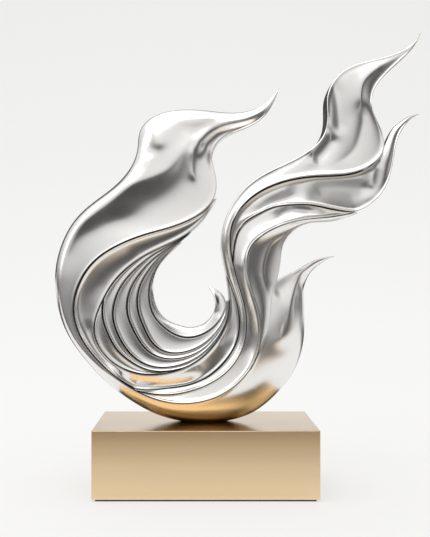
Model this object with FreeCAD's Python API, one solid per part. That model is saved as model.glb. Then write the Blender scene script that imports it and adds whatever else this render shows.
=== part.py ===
import FreeCAD, Part
import math
import os

# A flame sculpture of cast ribbons on a rectangular block plinth.
# Units are mm. X runs across the face, Y from front to back, Z up.
# The origin is the centre of the underside, where the pad meets the table.

# ---- driving dimensions -------------------------------------------------
plinth_width = 200.0
plinth_depth = 110.0
plinth_height = 62.0
flame_width = 343.0
flame_height = 361.0        # from the plinth's top to the highest tip
flame_depth = 66.0          # front to back through the bowl

seam_gap = 0.45             # between two neighbouring castings
fit_gap = 0.3               # around pins, studs, screws and the core
thin_edge = 1.0             # least half thickness anywhere
least_width = 0.8           # a casting stops where it is narrower
back_share = 0.85           # the back is a little flatter than the front

cover_wall = 2.0
cover_edge_radius = 0.8
pad_thickness = 2.0
pad_inset = 3.0
base_plate_thickness = 3.0

ballast_length = 150.0
ballast_depth = 80.0
ballast_thickness = 10.0
ballast_window_length = 70.0
ballast_window_depth = 40.0

stud_diameter = 8.0
stud_spacing = 30.0
stud_reach = 13.0           # how far a stud stands above the plinth
stud_below_nut = 4.0
washer_diameter = 18.0
washer_thickness = 1.6
nut_across_flats = 13.0
nut_thickness = 6.5
nut_pocket_diameter = 24.0
nut_pocket_roof = 20.0      # core left above the nut pocket

screw_diameter = 4.0
screw_head_diameter = 8.0
screw_head_height = 2.4
screw_length = 15.0
screw_edge_distance = 12.0

pin_diameter = 3.0
pin_length = 12.0
tie_rod_diameter = 3.0
tie_rod_grip = 4.0          # into the castings at both ends of the nest

# ---- the drawing of the face ----------------------------------------------
# Each rail is one border between ribbons: (station, across, height), in mm at
# the drawn size, with heights above the table. Ribbons that share a border
# share its rail, so they stay together when a size changes.
drawn_width = 343.0
drawn_height = 361.0
drawn_depth = 66.0
drawn_plinth = 62.0
foot_centre = -1.0

rail_points = {
    "outer": [(0, 71, 377), (0.5, 62, 364), (1, 53, 357), (2, 32, 351), (3, 11, 352),
              (4, -10, 354), (6, -53, 345), (7, -63, 331), (8, -63, 315), (9, -70, 297),
              (10, -85, 280), (12, -123, 249), (13, -135, 225), (15, -139, 178),
              (16, -133, 154), (17, -123, 135), (18, -110, 118), (19, -93, 99),
              (20, -74, 84), (21, -51, 70), (22, -27, 62), (23, -1, 60), (24, 24, 62),
              (25, 47, 70), (26, 68, 88), (27, 84, 109), (28, 92, 134), (29, 93, 156),
              (30, 92, 175), (31, 92, 187), (32, 97, 200), (33, 107, 209), (34, 119, 215)],
    "crest": [(0, 71, 377), (0.5, 67, 361), (1, 57, 347), (2, 38, 336), (3, 18, 328),
              (4, 8, 316), (5, 6, 305), (6, 9, 293), (9, 0, 257), (11, -37, 240),
              (12, -60, 234), (13, -85, 223), (14, -105, 208), (15, -117, 186),
              (16, -120, 166), (17, -115, 145), (18, -102, 126), (20, -65, 95),
              (22, -21, 82), (24, 24, 96), (25, 40, 113), (28, 46, 170), (29, 40, 187),
              (31, 38, 219), (33, 55, 237), (35, 80, 247), (38, 117, 252), (39, 128, 254),
              (40, 139, 256), (42, 162, 272), (44, 174, 300), (46, 181, 329),
              (47, 189, 340), (48, 196, 347), (49, 204, 351)],
    "cup": [(8, 11, 269), (10, -8, 242), (11, -26, 230), (12, -51, 219), (13, -70, 206),
            (14, -84, 192), (15, -93, 176), (16, -100, 159), (17, -101, 143),
            (19, -77, 114), (20, -57, 108), (21, -38, 109), (22, -19, 114), (24, 8, 135),
            (25, 17, 149), (27, 22, 175), (28, 21, 186), (29, 19, 198), (31, 14, 223),
            (34, 27, 268), (36, 53, 291), (37, 70, 299), (40, 108, 326), (43, 111, 360),
            (44, 113, 368), (45, 118, 378), (47, 137, 392), (49, 164, 399), (51, 188, 409),
            (53, 199, 423)],
    "front": [(20, -65, 95), (21, -42, 90), (22, -20, 92), (24, 20, 111), (25, 32, 128),
              (27, 36, 164), (30, 24, 209), (31, 22, 224), (32, 22, 238), (33, 26, 251),
              (34, 34, 262), (36, 58, 279), (38, 92, 288), (39, 109, 289), (40, 127, 290),
              (41, 141, 293), (42, 154, 300), (45, 161, 332), (46, 155, 345),
              (47, 152, 356), (48, 155, 369), (49, 165, 382), (50, 178, 394),
              (51, 191, 406), (52, 196, 415), (53, 199, 423)],
    "tongue": [(25, 40, 113), (26, 50, 132), (28, 59, 164), (30, 64, 191), (31, 73, 197),
               (32, 86, 203), (33, 101, 213), (34, 119, 216)],
    "arm": [(30, 65, 191), (31, 69, 208), (32, 70, 221), (33, 75, 232), (35, 94, 246),
            (38, 123, 249), (39, 132, 252), (40, 141, 255)],
    "mid": [(43, 162, 309), (44, 166, 317), (45, 171, 328), (46, 177, 338), (47, 187, 345),
            (48, 195, 350), (49, 204, 351)],
    "rim": [(10, -8, 242), (11, -23, 229), (12, -38, 215), (13, -47, 201), (15, -52, 178),
            (16, -50, 166), (17, -45, 157), (19, -28, 143), (22, -3, 143), (24, 10, 152),
            (27, 19, 174), (29, 10, 185), (30, 2, 188)],
    "hole": [(10, -8, 241), (11, -22, 228), (12, -36, 216), (13, -45, 204), (15, -48, 178),
             (17, -39, 159), (19, -25, 152), (20, -18, 150), (25, 8, 165), (26, 9, 171),
             (28, 7, 180), (30, 2, 188)],
}

# Borders inside the nest and the stem, as a share of the way between two rails.
share_points = {
    "nest_1": ("cup", "rim", [(15, 0), (16, 0.12), (17, 0.20), (18, 0.20), (19, 0.18),
                              (20, 0.12), (21, 0.06), (22, 0)]),
    "nest_2": ("cup", "rim", [(11, 0.30), (13, 0.28), (15, 0.26), (17, 0.34), (19, 0.27),
                              (21, 0.17), (23, 0.17), (25, 0.20), (27, 0.25)]),
    "nest_3": ("cup", "rim", [(11, 0.55), (13, 0.55), (15, 0.53), (17, 0.59), (19, 0.50),
                              (21, 0.40), (23, 0.36), (25, 0.40), (27, 0.50)]),
    "nest_4": ("cup", "rim", [(11, 0.75), (13, 0.75), (15, 0.74), (17, 0.76), (19, 0.64),
                              (21, 0.57), (23, 0.58), (25, 0.60), (27, 0.75)]),
    "stem": ("cup", "crest", [(20, 1), (21, 0.62), (22, 0.53), (23, 0.50), (24, 0.46),
                              (25, 0.43), (26, 0.36), (27, 0.28), (28, 0.16), (29, 0)]),
    "fork": ("front", "crest", [(30, 0), (31, 0.20), (32, 0.27), (33, 0.33), (34, 0.42),
                                (35, 0.47), (36, 0.56), (37, 0.65), (38, 0.785),
                                (39, 0.91), (40, 1)]),
}


class Law:
    """A smooth value along the stations: a natural cubic through hand-set knots."""

    def __init__(self, knots):
        self.k = [knot[0] for knot in knots]
        self.v = [knot[1] for knot in knots]
        self.bend = self.solve_bends()

    def solve_bends(self):
        n = len(self.k)
        step = [self.k[i + 1] - self.k[i] for i in range(n - 1)]
        upper, right = [0.0] * n, [0.0] * n
        for i in range(1, n - 1):
            slope_after = (self.v[i + 1] - self.v[i]) / step[i]
            slope_before = (self.v[i] - self.v[i - 1]) / step[i - 1]
            pivot = 2 * (step[i - 1] + step[i]) - step[i - 1] * upper[i - 1]
            upper[i] = step[i] / pivot
            right[i] = (6 * (slope_after - slope_before) - step[i - 1] * right[i - 1]) / pivot
        bend = [0.0] * n
        for i in range(n - 2, 0, -1):
            bend[i] = right[i] - upper[i] * bend[i + 1]
        return bend

    def at(self, k):
        k = min(max(k, self.k[0]), self.k[-1])
        i = 0
        while i < len(self.k) - 2 and k > self.k[i + 1]:
            i += 1
        step = self.k[i + 1] - self.k[i]
        a, b = (self.k[i + 1] - k) / step, (k - self.k[i]) / step
        cubic = (a ** 3 - a) * self.bend[i] + (b ** 3 - b) * self.bend[i + 1]
        return a * self.v[i] + b * self.v[i + 1] + cubic * step ** 2 / 6


def make_rail(points):
    across = Law([(k, x) for k, x, z in points])
    height = Law([(k, z) for k, x, z in points])
    wide, tall = flame_width / drawn_width, flame_height / drawn_height

    def rail(k):
        x, z = across.at(k), height.at(k)
        return (x * wide, plinth_height + (z - drawn_plinth) * tall)
    return rail


rails = {name: make_rail(points) for name, points in rail_points.items()}


def make_share(first, second, knots):
    law = Law(knots)

    def rail(k):
        share = law.at(k)
        a, b = rails[first](k), rails[second](k)
        return (a[0] + share * (b[0] - a[0]), a[1] + share * (b[1] - a[1]))
    return rail


for name, (first, second, knots) in share_points.items():
    rails[name] = make_share(first, second, knots)


def chain(*pieces):
    """One border made of rails that follow each other: (name, last station), ..."""
    def rail(k):
        for name, last in pieces:
            if k <= last:
                return rails[name](k)
        return rails[pieces[-1][0]](k)
    return rail


# ---- ribbons ----------------------------------------------------------------
# front_a and front_b are how far the face stands out from the mid-plane along
# each border; dish is how far it is hollowed (-) or crowned (+) between them.
# round_a is the share of the width that rolls over at an outer border.
# lean shifts the whole section to the front (-) or the back (+).
ribbons = {
    "outer_flame_casting": dict(
        a=chain(("outer", 34)), b=chain(("crest", 25), ("tongue", 34)), span=(0, 34),
        front_a=Law([(0, 1), (3, 1.5), (34, 1)]),
        front_b=Law([(0, 1), (2, 6), (4, 11), (6, 15), (9, 20), (12, 24), (16, 28),
                     (20, 31), (23, 33), (25, 34), (27, 28), (29, 20), (31, 12), (33, 4),
                     (34, 1.2)]),
        dish=Law([(0, 0), (4, 2), (8, -2), (12, -2), (17, 1), (23, 0), (28, 1), (34, 0)]),
        round_a=Law([(0, 0.8), (4, 0.45), (8, 0.35), (12, 0.35), (16, 0.6), (20, 1),
                     (26, 1), (30, 0.7), (34, 0.8)]),
        lean=Law([(0, 11), (3, 6), (6, 2), (9, 0), (28, 0), (31, -3), (34, -9)])),
    "left_ribbon": dict(
        a=chain(("crest", 20), ("stem", 29)), b=chain(("cup", 29)), span=(8, 29),
        front_a=Law([(8, 13), (10, 17), (12, 20), (14, 22.5), (16, 26), (18, 29), (20, 30),
                     (22, 29), (24, 29), (26, 27), (29, 20)]),
        front_b=Law([(8, 12), (10, 15), (12, 17), (16, 22), (20, 27), (24, 28), (27, 23),
                     (29, 19)]),
        dish=Law([(8, 0), (12, -3), (16, -3), (20, -1), (24, -4), (29, 0)])),
    "upper_flame_ribbon": dict(
        a=chain(("stem", 29), ("cup", 53)), b=chain(("front", 53)), span=(20, 53),
        front_a=Law([(20, 29), (22, 28), (26, 26), (30, 22), (34, 20), (38, 17), (42, 13),
                     (46, 9), (50, 5), (53, 1.2)]),
        front_b=Law([(20, 31), (24, 33), (27, 33), (30, 31), (34, 28), (38, 24), (42, 19),
                     (46, 11), (50, 5), (53, 1.2)]),
        dish=Law([(20, 0), (24, -3), (30, -2), (36, -3), (41, 1), (45, 3), (50, 1), (53, 0)]),
        lean=Law([(36, 0), (40, -2), (45, -4), (50, -9), (53, -14)])),
    "front_ribbon": dict(
        a=chain(("front", 30), ("fork", 40)), b=chain(("crest", 40)), span=(20, 40),
        front_a=Law([(20, 29), (24, 30), (27, 30), (30, 28), (33, 24), (36, 20), (38, 16),
                     (40, 12)]),
        front_b=Law([(20, 31), (23, 33.5), (25, 35), (27, 36), (30, 33), (33, 28), (36, 22),
                     (38, 17), (40, 12)]),
        dish=Law([(20, 0), (24, -2), (30, -4), (35, -3), (40, 0)])),
    "middle_tongue_ribbon": dict(
        a=chain(("front", 43), ("mid", 49)), b=chain(("fork", 40), ("crest", 49)),
        span=(30, 49),
        front_a=Law([(30, 28), (33, 24), (36, 20), (39, 16), (42, 13), (45, 8), (49, 1.2)]),
        front_b=Law([(30, 29), (33, 26), (36, 23), (39, 19), (42, 14), (45, 8), (49, 1.2)]),
        dish=Law([(30, 0), (34, -3), (38, -4), (42, -1), (45, 1), (49, 0)]),
        lean=Law([(38, 0), (42, 2), (46, 6), (49, 12)])),
    "rear_web": dict(
        a=chain(("crest", 40)), b=chain(("tongue", 30), ("arm", 40)), span=(25, 40),
        front_a=Law([(25, 31), (27, 30), (30, 26), (33, 22), (36, 17), (38, 13), (40, 10)]),
        front_b=Law([(25, 30), (27, 24), (29, 17), (31, 11), (34, 9), (37, 8), (40, 8)]),
        dish=Law([(25, 0), (28, -3), (32, -2), (36, -1), (40, 0)])),
    "hook_lip": dict(
        a=chain(("rim", 30)), b=chain(("hole", 30)), span=(11, 30),
        front_a=Law([(11, 9), (14, 12), (18, 14), (22, 14), (26, 11), (28, 6), (30, 1.2)]),
        front_b=Law([(11, 8), (14, 8), (18, 8), (22, 8), (26, 7), (28, 4), (30, 1.2)]),
        dish=Law([(11, 0), (18, 1), (24, 1), (30, 0)])),
}

# The nest: five fins between the cup and the rim, each a step behind the one outside.
nest_height = Law([(11, 15), (13, 19), (16, 25), (20, 30), (23, 30), (25, 26), (27, 21)])
nest_borders = [
    (chain(("cup", 27)), 0.0),
    (chain(("cup", 15), ("nest_1", 22), ("cup", 27)), 0.10),
    (chain(("nest_2", 27)), 0.27),
    (chain(("nest_3", 27)), 0.50),
    (chain(("nest_4", 27)), 0.70),
    (chain(("rim", 27)), 1.0),
]
nest_drop = 0.5             # share of the height lost from the cup to the rim
nest_step = 1.0             # rise of each fin's outer rim, and fall of its inner one

for i in range(len(nest_borders) - 1):
    (border_a, depth_a), (border_b, depth_b) = nest_borders[i], nest_borders[i + 1]
    stops = [11 + 2 * n for n in range(9)]
    ribbons["nest_fin_%d" % (i + 1)] = dict(
        a=border_a, b=border_b, span=(11, 27) if i else (15, 22),
        front_a=Law([(k, nest_height.at(k) * (1 - nest_drop * depth_a) + nest_step)
                     for k in stops]),
        front_b=Law([(k, nest_height.at(k) * (1 - nest_drop * depth_b) - nest_step)
                     for k in stops]),
        dish=Law([(11, 0), (19, -2), (27, 0)]))

no_value = Law([(0, 0), (60, 0)])
across_shares = [0, 0.03, 0.1, 0.22, 0.38, 0.55, 0.72, 0.88, 1]
stations_per_step = 3


def width_at(ribbon, k):
    a, b = ribbon["a"](k), ribbon["b"](k)
    return math.hypot(b[0] - a[0], b[1] - a[1])


def end_station(ribbon, wide, narrow):
    """Where the ribbon narrows to its least width between two stations."""
    for n in range(12):
        middle = (wide + narrow) / 2
        if width_at(ribbon, middle) >= least_width + seam_gap:
            wide = middle
        else:
            narrow = middle
    return wide


def stations_of(ribbon):
    """Shared stations, so that neighbours match, and the two narrow ends."""
    first, last = ribbon["span"]
    step = 1 / stations_per_step
    every = [first + n * step for n in range((last - first) * stations_per_step + 1)]
    wide = [k for k in every if width_at(ribbon, k) >= least_width + seam_gap]
    if wide[0] > first:
        start = end_station(ribbon, wide[0], wide[0] - step)
        if wide[0] - start > 0.1 * step:
            wide.insert(0, start)
    if wide[-1] < last:
        end = end_station(ribbon, wide[-1], wide[-1] + step)
        if end - wide[-1] > 0.1 * step:
            wide.append(end)
    return wide


def front_at(ribbon, k, share):
    low, high = ribbon["front_a"].at(k), ribbon["front_b"].at(k)
    dish = ribbon["dish"].at(k) * 4 * share * (1 - share)
    if "round_a" in ribbon:
        turn = min(1.0, share / ribbon["round_a"].at(k))
        roll = math.sqrt(1 - (1 - turn) ** 2)
        return low + (high - low) * roll + dish * roll
    return low + (high - low) * share + dish


def pole_rows(ribbon):
    """Front and back poles of one ribbon, station by station."""
    deep = flame_depth / drawn_depth
    lean_law = ribbon.get("lean", no_value)
    front, back = [], []
    for k in stations_of(ribbon):
        a, b = ribbon["a"](k), ribbon["b"](k)
        inset = 0.5 * seam_gap / width_at(ribbon, k)
        lean = lean_law.at(k) * deep
        front_row, back_row = [], []
        for share in across_shares:
            place = inset + share * (1 - 2 * inset)
            x = a[0] + place * (b[0] - a[0])
            z = a[1] + place * (b[1] - a[1])
            out = max(front_at(ribbon, k, share) * deep, thin_edge)
            front_row.append(FreeCAD.Vector(x, lean - out, z))
            back_row.append(FreeCAD.Vector(x, lean + back_share * out, z))
        front.append(front_row)
        back.append(back_row)
    return front, back


def clamped_knots(count, degree):
    inner = count - degree - 1
    knots = [n / (inner + 1) for n in range(inner + 2)]
    return knots, [degree + 1] + [1] * inner + [degree + 1]


def smooth_face(rows):
    degree_u, degree_v = min(3, len(rows) - 1), min(3, len(rows[0]) - 1)
    knots_u, mults_u = clamped_knots(len(rows), degree_u)
    knots_v, mults_v = clamped_knots(len(rows[0]), degree_v)
    surface = Part.BSplineSurface()
    surface.buildFromPolesMultsKnots(rows, mults_u, mults_v, knots_u, knots_v,
                                     False, False, degree_u, degree_v)
    return surface.toShape()


def ribbon_solid(name):
    front, back = pole_rows(ribbons[name])
    walls = [
        [[row[0] for row in front], [row[0] for row in back]],
        [[row[-1] for row in front], [row[-1] for row in back]],
        [front[0], back[0]],
        [front[-1], back[-1]],
    ]
    faces = [smooth_face(front), smooth_face(back)] + [smooth_face(wall) for wall in walls]
    shell = Part.makeShell(faces)
    shell.sewShape()
    solid = Part.Solid(shell.Shells[0])
    if solid.Volume < 0:
        solid.reverse()
    return solid


def box(x0, x1, y0, y1, z0, z1):
    return Part.makeBox(x1 - x0, y1 - y0, z1 - z0, FreeCAD.Vector(x0, y0, z0))


def upright(radius, x, y, z0, z1):
    return Part.makeCylinder(radius, z1 - z0, FreeCAD.Vector(x, y, z0))


# ---- hidden joinery between castings --------------------------------------------
# Each pin crosses one seam: (border, station, castings on both sides).
pins = [
    ("crest", 13.0, "outer_flame_casting", "left_ribbon"),
    ("crest", 22.5, "outer_flame_casting", "front_ribbon"),
    ("tongue", 27.5, "outer_flame_casting", "rear_web"),
    ("stem", 23.5, "left_ribbon", "upper_flame_ribbon"),
    ("front", 24.5, "upper_flame_ribbon", "front_ribbon"),
    ("front", 37.0, "upper_flame_ribbon", "middle_tongue_ribbon"),
    ("fork", 35.0, "middle_tongue_ribbon", "front_ribbon"),
    ("crest", 33.0, "front_ribbon", "rear_web"),
]
tie_rod_stations = [16.5, 19.5]
nest_names = ["nest_fin_%d" % (i + 1) for i in range(5)]


def flat_vector(a, b):
    return FreeCAD.Vector(b[0] - a[0], 0, b[1] - a[1])


def pin_axis(border, k):
    """Point on the border and the direction square to it, in the mid-plane."""
    rail = rails[border]
    here = rail(k)
    along = flat_vector(rail(k - 0.1), rail(k + 0.1))
    along.normalize()
    return FreeCAD.Vector(here[0], 0, here[1]), FreeCAD.Vector(along.z, 0, -along.x)


def rod(middle, direction, length, radius):
    start = middle - direction * (length / 2)
    return Part.makeCylinder(radius, length, start, direction)


def tie_rod_line(k):
    a, b = rails["cup"](k), rails["rim"](k)
    direction = flat_vector(a, b)
    length = direction.Length + 2 * tie_rod_grip
    direction.normalize()
    middle = FreeCAD.Vector((a[0] + b[0]) / 2, 0, (a[1] + b[1]) / 2)
    return middle, direction, length


castings = {name: ribbon_solid(name) for name in ribbons}

pin_solids = []
for border, k, first, second in pins:
    middle, direction = pin_axis(border, k)
    pin_solids.append(rod(middle, direction, pin_length, pin_diameter / 2))
    bore = rod(middle, direction, pin_length + 2 * fit_gap, pin_diameter / 2 + fit_gap)
    castings[first] = castings[first].cut(bore)
    castings[second] = castings[second].cut(bore)

tie_rod_solids = []
for k in tie_rod_stations:
    middle, direction, length = tie_rod_line(k)
    tie_rod_solids.append(rod(middle, direction, length, tie_rod_diameter / 2))
    bore = rod(middle, direction, length + 2 * fit_gap, tie_rod_diameter / 2 + fit_gap)
    for name in ["left_ribbon", "hook_lip"] + nest_names:
        castings[name] = castings[name].cut(bore)

# ---- plinth and its fixings -----------------------------------------------------
half_width, half_depth = plinth_width / 2, plinth_depth / 2
core_bottom = pad_thickness + base_plate_thickness
core_top = plinth_height - cover_wall
inner_width, inner_depth = half_width - cover_wall, half_depth - cover_wall
core_width, core_depth = inner_width - fit_gap, inner_depth - fit_gap
stud_places = [foot_centre - stud_spacing / 2, foot_centre + stud_spacing / 2]
pocket_roof = core_top - nut_pocket_roof
washer_bottom = pocket_roof - washer_thickness
nut_bottom = washer_bottom - nut_thickness
stud_bottom = nut_bottom - stud_below_nut
stud_top = plinth_height + stud_reach
stud_bore = stud_diameter / 2 + fit_gap
screw_places = [(sx * (half_width - screw_edge_distance), sy * (half_depth - screw_edge_distance))
                for sx in (-1, 1) for sy in (-1, 1)]


def plinth_cover():
    outer = box(-half_width, half_width, -half_depth, half_depth, pad_thickness, plinth_height)
    crisp = [edge for edge in outer.Edges
             if edge.BoundBox.ZMax > pad_thickness + 0.01]
    outer = outer.makeFillet(cover_edge_radius, crisp)
    inner = box(-inner_width, inner_width, -inner_depth, inner_depth,
                pad_thickness - 1, core_top)
    cover = outer.cut(inner)
    for x in stud_places:
        cover = cover.cut(upright(stud_bore, x, 0, core_top - 1, plinth_height + 1))
    return cover


def plinth_core():
    core = box(-core_width, core_width, -core_depth, core_depth, core_bottom, core_top)
    long_half = ballast_length / 2 + fit_gap
    deep_half = ballast_depth / 2 + fit_gap
    core = core.cut(box(foot_centre - long_half, foot_centre + long_half, -deep_half, deep_half,
                        core_bottom - 1, core_bottom + ballast_thickness))
    for x in stud_places:
        core = core.cut(upright(nut_pocket_diameter / 2, x, 0, core_bottom, pocket_roof))
        core = core.cut(upright(stud_bore, x, 0, pocket_roof - 1, core_top + 1))
    for x, y in screw_places:
        pilot_top = pad_thickness + screw_length + fit_gap
        core = core.cut(upright(screw_diameter / 2 + fit_gap, x, y, core_bottom - 1, pilot_top))
    return core


def ballast_plate():
    half_length, half_ballast = ballast_length / 2, ballast_depth / 2
    top = core_bottom + ballast_thickness
    plate = box(foot_centre - half_length, foot_centre + half_length,
                -half_ballast, half_ballast, core_bottom, top)
    window = box(foot_centre - ballast_window_length / 2, foot_centre + ballast_window_length / 2,
                 -ballast_window_depth / 2, ballast_window_depth / 2, core_bottom - 1, top + 1)
    return plate.cut(window)


def countersunk(x, y, extra, length):
    """A flat-headed screw, or its clearance when extra is more than 0."""
    low = pad_thickness
    head = Part.makeCone(screw_head_diameter / 2 + extra, screw_diameter / 2 + extra,
                         screw_head_height, FreeCAD.Vector(x, y, low))
    return head.fuse(upright(screw_diameter / 2 + extra, x, y, low + screw_head_height, length))


def base_plate():
    plate = box(-core_width, core_width, -core_depth, core_depth, pad_thickness, core_bottom)
    for x, y in screw_places:
        plate = plate.cut(countersunk(x, y, fit_gap, core_bottom + 1))
    return plate


def base_pad():
    return box(pad_inset - half_width, half_width - pad_inset,
               pad_inset - half_depth, half_depth - pad_inset, 0, pad_thickness)


def hexagon_nut(x):
    corner = nut_across_flats / math.sqrt(3)
    ring = [FreeCAD.Vector(x + corner * math.cos(math.radians(60 * n)),
                           corner * math.sin(math.radians(60 * n)), nut_bottom)
            for n in range(7)]
    blank = Part.Face(Part.makePolygon(ring)).extrude(FreeCAD.Vector(0, 0, nut_thickness))
    return blank.cut(upright(stud_bore, x, 0, nut_bottom - 1, washer_bottom + 1))


def washer(x):
    disc = upright(washer_diameter / 2, x, 0, washer_bottom, pocket_roof)
    return disc.cut(upright(stud_bore, x, 0, washer_bottom - 1, pocket_roof + 1))


# The bowl's foot is ground flat on the plinth and drilled for the studs.
below = box(-half_width, half_width, -flame_depth, flame_depth, 0, plinth_height)
foot = castings["outer_flame_casting"].cut(below)
for x in stud_places:
    foot = foot.cut(upright(stud_bore, x, 0, plinth_height - 1, stud_top + fit_gap))
castings["outer_flame_casting"] = foot

nodes = dict(castings)
nodes["seam_pins"] = Part.Compound(pin_solids)
nodes["nest_tie_rods"] = Part.Compound(tie_rod_solids)
nodes["plinth_cover"] = plinth_cover()
nodes["plinth_core"] = plinth_core()
nodes["ballast_plate"] = ballast_plate()
nodes["base_plate"] = base_plate()
nodes["base_pad"] = base_pad()
nodes["base_screws"] = Part.Compound([countersunk(x, y, 0, pad_thickness + screw_length)
                                      for x, y in screw_places])
nodes["foot_studs"] = Part.Compound([upright(stud_diameter / 2, x, 0, stud_bottom, stud_top)
                                     for x in stud_places])
nodes["foot_washers"] = Part.Compound([washer(x) for x in stud_places])
nodes["foot_nuts"] = Part.Compound([hexagon_nut(x) for x in stud_places])

for name, shape in nodes.items():
    if len(shape.Solids) == 1:
        shape = shape.Solids[0]
    shape.exportStep("parts/%s.step" % name)
    bounds = shape.BoundBox
    print("%-22s solids %d valid %s volume %9.0f  x %6.1f %6.1f  y %6.1f %6.1f  z %6.1f %6.1f" % (
        name, len(shape.Solids), shape.isValid(), shape.Volume, bounds.XMin, bounds.XMax,
        bounds.YMin, bounds.YMax, bounds.ZMin, bounds.ZMax))
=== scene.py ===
import math

import bmesh
import bpy
import numpy as np
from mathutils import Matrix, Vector


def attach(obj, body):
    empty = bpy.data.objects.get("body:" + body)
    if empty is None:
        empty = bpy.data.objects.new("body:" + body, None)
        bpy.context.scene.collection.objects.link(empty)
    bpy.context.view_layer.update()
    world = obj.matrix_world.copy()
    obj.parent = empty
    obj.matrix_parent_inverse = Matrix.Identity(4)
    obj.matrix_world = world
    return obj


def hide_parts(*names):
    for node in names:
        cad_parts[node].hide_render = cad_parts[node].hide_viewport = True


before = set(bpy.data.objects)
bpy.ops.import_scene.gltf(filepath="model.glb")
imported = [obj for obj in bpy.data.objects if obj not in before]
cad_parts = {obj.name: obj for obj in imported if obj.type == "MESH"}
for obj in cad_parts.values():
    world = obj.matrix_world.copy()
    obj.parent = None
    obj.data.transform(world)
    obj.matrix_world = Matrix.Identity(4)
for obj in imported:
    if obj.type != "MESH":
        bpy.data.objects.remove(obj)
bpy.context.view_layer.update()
print("frame loaded")

mm = 0.001

# The borders between ribbons, seen from the front: (station, across, height) in mm. Stations
# count along the flame, from the left tongue's tip (0) down and round the bowl (22), and up
# to the three tips at the right: the low tongue (34), the middle tongue (49), the crown (53).
borderPoints = {
    "outer": [(0, 71, 377), (0.5, 62, 364), (1, 53, 357), (2, 32, 351), (3, 11, 352),
              (4, -10, 354), (6, -53, 345), (7, -63, 331), (8, -63, 315), (9, -70, 297),
              (10, -85, 280), (12, -123, 249), (13, -135, 225), (15, -139, 178),
              (16, -133, 154), (17, -123, 135), (18, -110, 118), (19, -93, 99),
              (20, -74, 84), (21, -51, 70), (22, -27, 62), (23, -1, 60), (24, 24, 62),
              (25, 47, 70), (26, 68, 88), (27, 84, 109), (28, 92, 134), (29, 93, 156),
              (30, 92, 175), (31, 92, 187), (32, 97, 200), (33, 107, 209), (34, 119, 215)],
    "crest": [(0, 71, 377), (0.5, 67, 361), (1, 57, 347), (2, 38, 336), (3, 18, 328),
              (4, 8, 316), (5, 6, 305), (6, 9, 293), (9, 0, 257), (11, -37, 240),
              (12, -60, 234), (13, -85, 223), (14, -105, 208), (15, -117, 186),
              (16, -120, 166), (17, -115, 145), (18, -102, 126), (20, -65, 95),
              (22, -21, 82), (24, 24, 96), (25, 40, 113), (28, 46, 170), (29, 40, 187),
              (31, 38, 219), (33, 55, 237), (35, 80, 247), (38, 117, 252), (39, 128, 254),
              (40, 139, 256), (42, 162, 272), (44, 174, 300), (46, 181, 329),
              (47, 189, 340), (48, 196, 347), (49, 204, 351)],
    "cup": [(8, 11, 269), (10, -8, 242), (11, -26, 230), (12, -51, 219), (13, -70, 206),
            (14, -84, 192), (15, -93, 176), (16, -100, 159), (17, -101, 143),
            (19, -77, 114), (20, -57, 108), (21, -38, 109), (22, -19, 114), (24, 8, 135),
            (25, 17, 149), (27, 22, 175), (28, 21, 186), (29, 19, 198), (31, 14, 223),
            (34, 27, 268), (36, 53, 291), (37, 70, 299), (40, 108, 326), (43, 111, 360),
            (44, 113, 368), (45, 118, 378), (47, 137, 392), (49, 164, 399), (51, 188, 409),
            (53, 199, 423)],
    "front": [(20, -65, 95), (21, -42, 90), (22, -20, 92), (24, 20, 111), (25, 32, 128),
              (27, 36, 164), (30, 24, 209), (31, 22, 224), (32, 22, 238), (33, 26, 251),
              (34, 34, 262), (36, 58, 279), (38, 92, 288), (39, 109, 289), (40, 127, 290),
              (41, 141, 293), (42, 154, 300), (45, 161, 332), (46, 155, 345),
              (47, 152, 356), (48, 155, 369), (49, 165, 382), (50, 178, 394),
              (51, 191, 406), (52, 196, 415), (53, 199, 423)],
    "tongue": [(25, 40, 113), (26, 50, 132), (28, 59, 164), (30, 64, 191), (31, 73, 197),
               (32, 86, 203), (33, 101, 213), (34, 119, 216)],
    "arm": [(30, 65, 191), (31, 69, 208), (32, 70, 221), (33, 75, 232), (35, 94, 246),
            (38, 123, 249), (39, 132, 252), (40, 141, 255)],
    "mid": [(43, 162, 309), (44, 166, 317), (45, 171, 328), (46, 177, 338), (47, 187, 345),
            (48, 195, 350), (49, 204, 351)],
    "rim": [(10, -8, 242), (11, -23, 229), (12, -38, 215), (13, -47, 201), (15, -52, 178),
            (16, -50, 166), (17, -45, 157), (19, -28, 143), (22, -3, 143), (24, 10, 152),
            (27, 19, 174), (29, 10, 185), (30, 2, 188)],
    "hole": [(10, -8, 241), (11, -22, 228), (12, -36, 216), (13, -45, 204), (15, -48, 178),
             (17, -39, 159), (19, -25, 152), (20, -18, 150), (25, 8, 165), (26, 9, 171),
             (28, 7, 180), (30, 2, 188)],
}

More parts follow.
